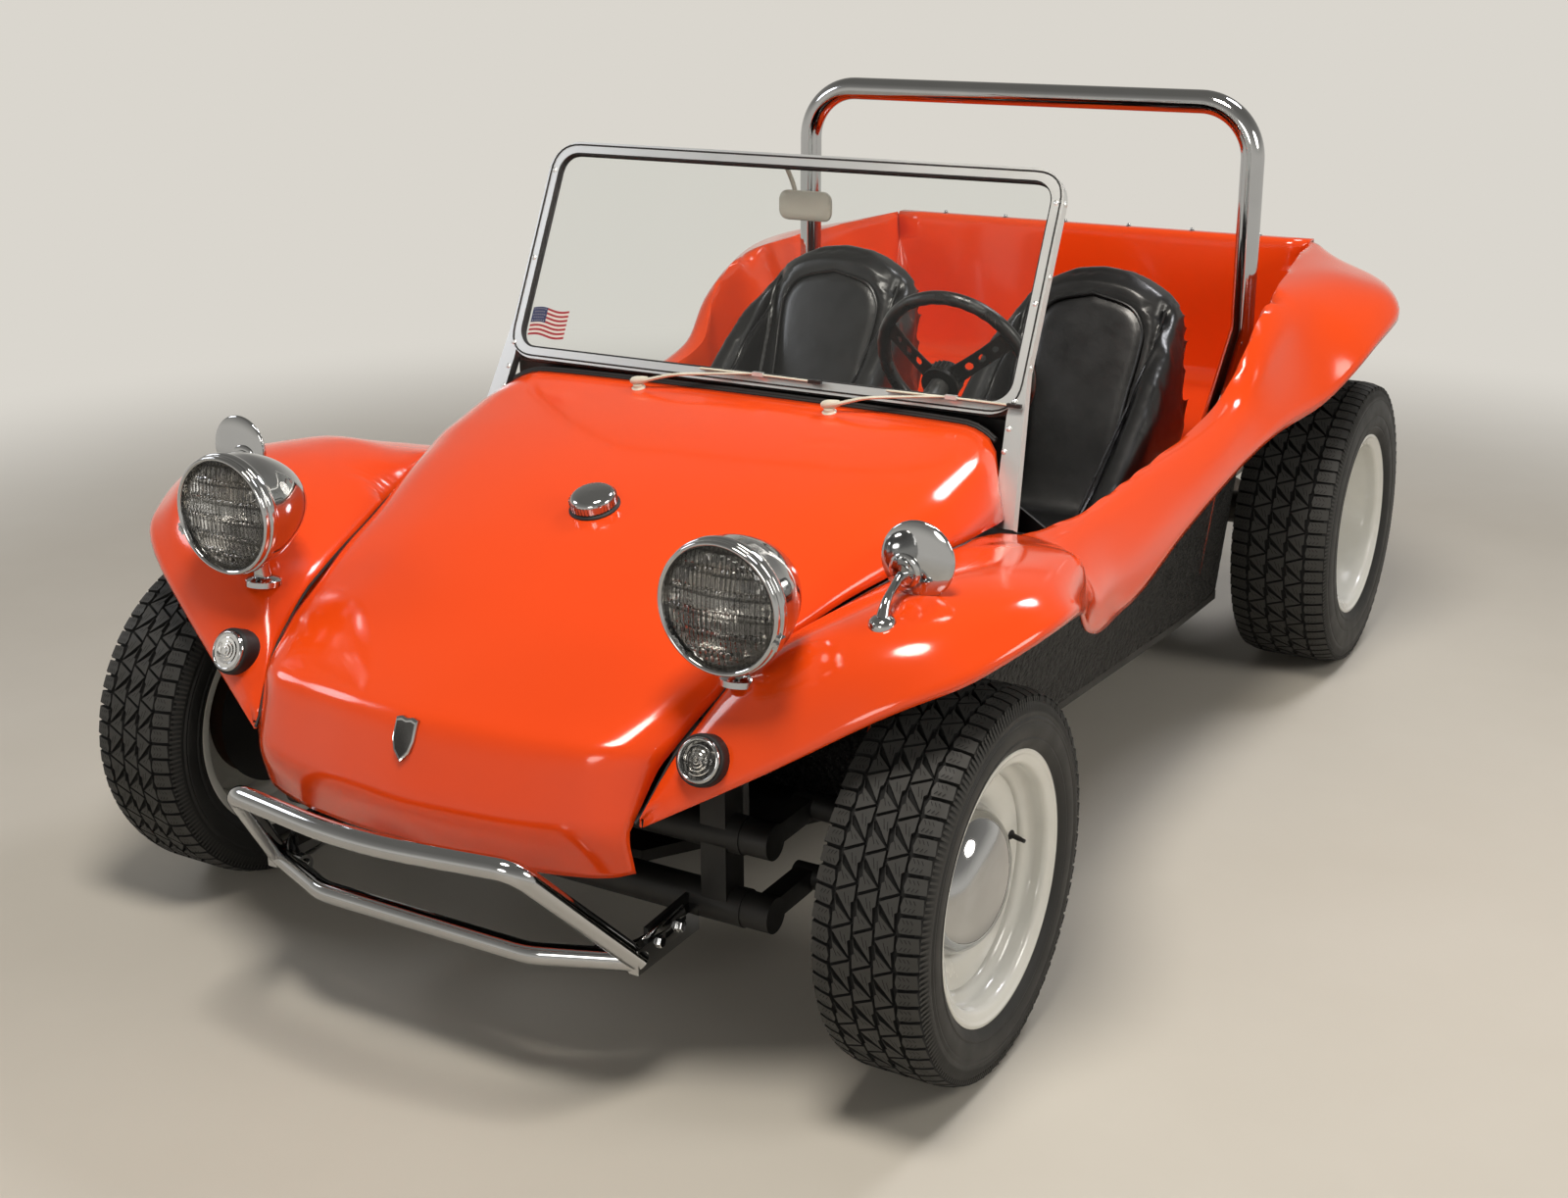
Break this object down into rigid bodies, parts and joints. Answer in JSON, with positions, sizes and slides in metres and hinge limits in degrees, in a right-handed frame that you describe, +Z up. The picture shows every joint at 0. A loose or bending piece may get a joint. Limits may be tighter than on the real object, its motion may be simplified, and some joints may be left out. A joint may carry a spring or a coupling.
{
  "type": "dune buggy",
  "caption": "Open two-seat dune buggy: one-piece moulded body on a flat pan, bullet lamps on the wings, roll hoop, rear engine and deep-dish wheels that roll and steer.",
  "frame": {"origin": "on the ground, under the middle of the overall length and width", "axes": "+Z up, the front faces -Y, the car's left side is +X"},
  "size_m": [1.692, 3.2529, 1.3135],
  "materials": {
    "gelcoat": "orange-red gelcoat on moulded glass fibre, high gloss",
    "black_vinyl": "black grained vinyl",
    "chassis_black": "black chassis paint",
    "cast_case": "raw cast alloy, lightly soiled",
    "shroud_black": "gloss black sheet metal",
    "exhaust_steel": "heat-stained steel",
    "chrome": "bright chrome plate",
    "polished_aluminium": "polished aluminium",
    "glass": "clear glass",
    "wheel_black": "black grip and black anodised spokes",
    "badge_metal": "blank enamelled shield",
    "wiper_paint": "cream-coloured arms with black blades",
    "mirror_black": "mirror glass in a black back",
    "red_lens": "ribbed red lens",
    "wheel_white": "white wheel enamel",
    "tyre_black": "black tyre rubber with moulded tread"
  },
  "bodies": {
    "chassis": {"body_side_left": "gelcoat", "body_side_right": "gelcoat", "bonnet": "gelcoat", "firewall": "gelcoat", "rear_bench": "gelcoat", "dashboard": "black_vinyl", "floor_pan": "chassis_black", "front_beam": "chassis_black", "trailing_arms": "chassis_black", "rear_frame": "chassis_black", "transaxle": "cast_case", "engine": "cast_case", "fan_shroud": "shroud_black", "carburettor": "cast_case", "exhaust": "exhaust_steel", "rear_bumper": "chrome", "front_bumper": "chrome", "roll_bar": "chrome", "windscreen_frame": "polished_aluminium", "windscreen_glass": "glass", "steering_column": "chassis_black", "driver_controls": "chassis_black", "fuel_tank": "chassis_black", "fuel_cap": "chrome", "nose_badge": "badge_metal", "wipers": "wiper_paint", "interior_mirror": "mirror_black", "seats": "black_vinyl", "headlamp_shells": "chrome", "headlamp_lenses": "glass", "indicators": "chrome", "wing_mirrors": "chrome", "tail_lamps": "red_lens"},
    "steering_wheel": {"steering_wheel": "wheel_black"},
    "knuckle_left": {"knuckle_left": "chassis_black"},
    "front_road_wheel_left": {"front_wheel_left": "wheel_white", "front_hubcap_left": "chrome", "front_tyre_left": "tyre_black"},
    "rear_road_wheel_left": {"rear_wheel_left": "wheel_white", "rear_hubcap_left": "chrome", "rear_tyre_left": "tyre_black"},
    "knuckle_right": {"knuckle_right": "chassis_black"},
    "front_road_wheel_right": {"front_wheel_right": "wheel_white", "front_hubcap_right": "chrome", "front_tyre_right": "tyre_black"},
    "rear_road_wheel_right": {"rear_wheel_right": "wheel_white", "rear_hubcap_right": "chrome", "rear_tyre_right": "tyre_black"}
  },
  "joints": [
    {"name": "front_left_steer", "type": "hinge", "parent": "chassis", "child": "knuckle_left", "pos_m": [0.545, -1.091, 0.298], "axis": [0, 0, 1], "range_deg": [-28, 28]},
    {"name": "front_right_steer", "type": "hinge", "parent": "chassis", "child": "knuckle_right", "pos_m": [-0.545, -1.091, 0.298], "axis": [0, 0, 1], "range_deg": [-28, 28]},
    {"name": "steering_wheel_turn", "type": "hinge", "parent": "chassis", "child": "steering_wheel", "pos_m": [0.32, -0.296, 0.887], "axis": [0, 0.9135, 0.4067], "range_deg": [-400, 400]},
    {"name": "front_left_spin", "type": "hinge", "parent": "knuckle_left", "child": "front_road_wheel_left", "pos_m": [0.704, -1.091, 0.298], "axis": [1, 0, 0], "continuous": true},
    {"name": "rear_left_spin", "type": "hinge", "parent": "chassis", "child": "rear_road_wheel_left", "pos_m": [0.682, 0.941, 0.327], "axis": [1, 0, 0], "continuous": true},
    {"name": "front_right_spin", "type": "hinge", "parent": "knuckle_right", "child": "front_road_wheel_right", "pos_m": [-0.704, -1.091, 0.298], "axis": [1, 0, 0], "continuous": true},
    {"name": "rear_right_spin", "type": "hinge", "parent": "chassis", "child": "rear_road_wheel_right", "pos_m": [-0.682, 0.941, 0.327], "axis": [1, 0, 0], "continuous": true}
  ],
  "couplings": [
    {"joint": "front_right_steer", "follows": "front_left_steer", "ratio": 1},
    {"joint": "steering_wheel_turn", "follows": "front_left_steer", "ratio": 14.286}
  ]
}
